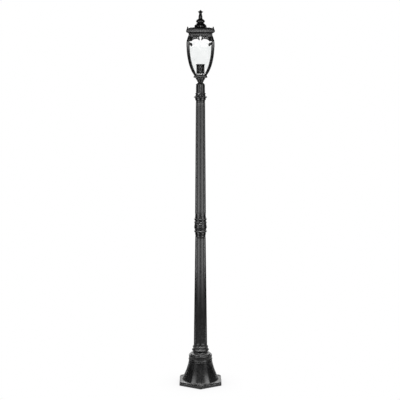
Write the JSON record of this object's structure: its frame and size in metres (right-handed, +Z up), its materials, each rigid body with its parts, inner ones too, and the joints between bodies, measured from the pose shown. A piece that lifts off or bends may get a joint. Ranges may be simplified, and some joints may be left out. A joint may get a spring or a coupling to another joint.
{
  "type": "garden lamp post",
  "caption": "Tall slender lamp post: hexagonal bell foot, fluted column in two lengths with turned collars, and a curved-glass square lantern with a spired roof.",
  "frame": {"origin": "centre of the foot's underside", "axes": "+Z up along the post's axis, -Y the front; the foot's front corner and one lantern face point along -Y"},
  "size_m": [0.272, 0.314, 2.4],
  "materials": {
    "black_casting": "black satin powder coat on cast aluminium",
    "zinc_steel": "zinc plated",
    "brass": "plain turned brass",
    "rubber": "matt",
    "cable_sheath": "matt round sheath",
    "clear_glass": "clear, faintly seeded",
    "pale_plastic": "moulded",
    "plain_sheet": "plain pressed sheet",
    "holder_plastic": "moulded black, semi-gloss",
    "holder_ceramic": "glazed",
    "black_strip": "black painted strip"
  },
  "bodies": {
    "post": {"base_casting": "black_casting", "base_set_screws": "zinc_steel", "base_collar": "black_casting", "lower_column": "black_casting", "clamp_plate": "zinc_steel", "tie_tube": "zinc_steel", "tie_washers": "zinc_steel", "tie_nuts": "zinc_steel", "terminal_bracket": "zinc_steel", "terminal_block": "pale_plastic", "earth_screw": "brass", "joint_sleeve": "zinc_steel", "mid_collar": "black_casting", "upper_column": "black_casting", "top_collar": "black_casting", "post_spigot": "black_casting", "supply_cable": "cable_sheath", "cable_grommet": "rubber", "lead_connector": "pale_plastic"},
    "lantern": {"fitter": "black_casting", "fitter_set_screws": "zinc_steel", "nipple": "brass", "nipple_nuts": "brass", "lantern_lead": "cable_sheath", "lantern_cup": "black_casting", "lantern_tray": "black_casting", "holder_plate": "plain_sheet", "holder_body": "holder_plastic", "holder_insert": "holder_ceramic", "holder_shell": "brass", "rib_front_left": "black_casting", "rib_front_right": "black_casting", "rib_back_left": "black_casting", "rib_back_right": "black_casting", "glass_front": "clear_glass", "glass_right": "clear_glass", "glass_back": "clear_glass", "glass_left": "clear_glass", "glass_strips": "black_strip", "strip_screws": "zinc_steel", "rib_foot_screws": "zinc_steel", "ornament_front_left": "black_casting", "ornament_front_right": "black_casting", "ornament_back_left": "black_casting", "ornament_back_right": "black_casting", "ornament_screws": "zinc_steel", "frieze_frame": "black_casting", "frieze_screws": "zinc_steel", "bridge_bar": "zinc_steel", "bridge_screws": "zinc_steel", "roof_stud": "zinc_steel", "stud_nuts": "zinc_steel", "roof_gasket": "rubber"},
    "lamp_contact": {"centre_contact": "brass"},
    "roof": {"roof_rim": "black_casting", "roof_dome": "black_casting", "finial_base": "black_casting"},
    "finial_washer": {"finial_washer": "black_casting"},
    "finial": {"finial": "black_casting"}
  },
  "joints": [
    {"name": "lantern_swivel", "type": "hinge", "parent": "post", "child": "lantern", "pos_m": [0, 0, 1.872], "axis": [0, 0, 1], "range_deg": [-180, 180]},
    {"name": "contact_spring", "type": "slide", "parent": "lantern", "child": "lamp_contact", "axis": [0, 0, 1], "range_m": [-0.0015, 0], "stiffness_N_per_m": 4000},
    {"name": "roof_lift", "type": "slide", "parent": "lantern", "child": "roof", "axis": [0, 0, 1], "range_m": [0, 0.085]},
    {"name": "finial_lift", "type": "slide", "parent": "roof", "child": "finial_washer", "axis": [0, 0, 1], "range_m": [0, 0.0101]},
    {"name": "finial_turn", "type": "hinge", "parent": "finial_washer", "child": "finial", "pos_m": [0, 0, 2.32], "axis": [0, 0, 1], "range_deg": [0, 3600]}
  ],
  "couplings": [
    {"joint": "finial_lift", "follows": "finial_turn", "m_per_rad": 0.00015915}
  ]
}
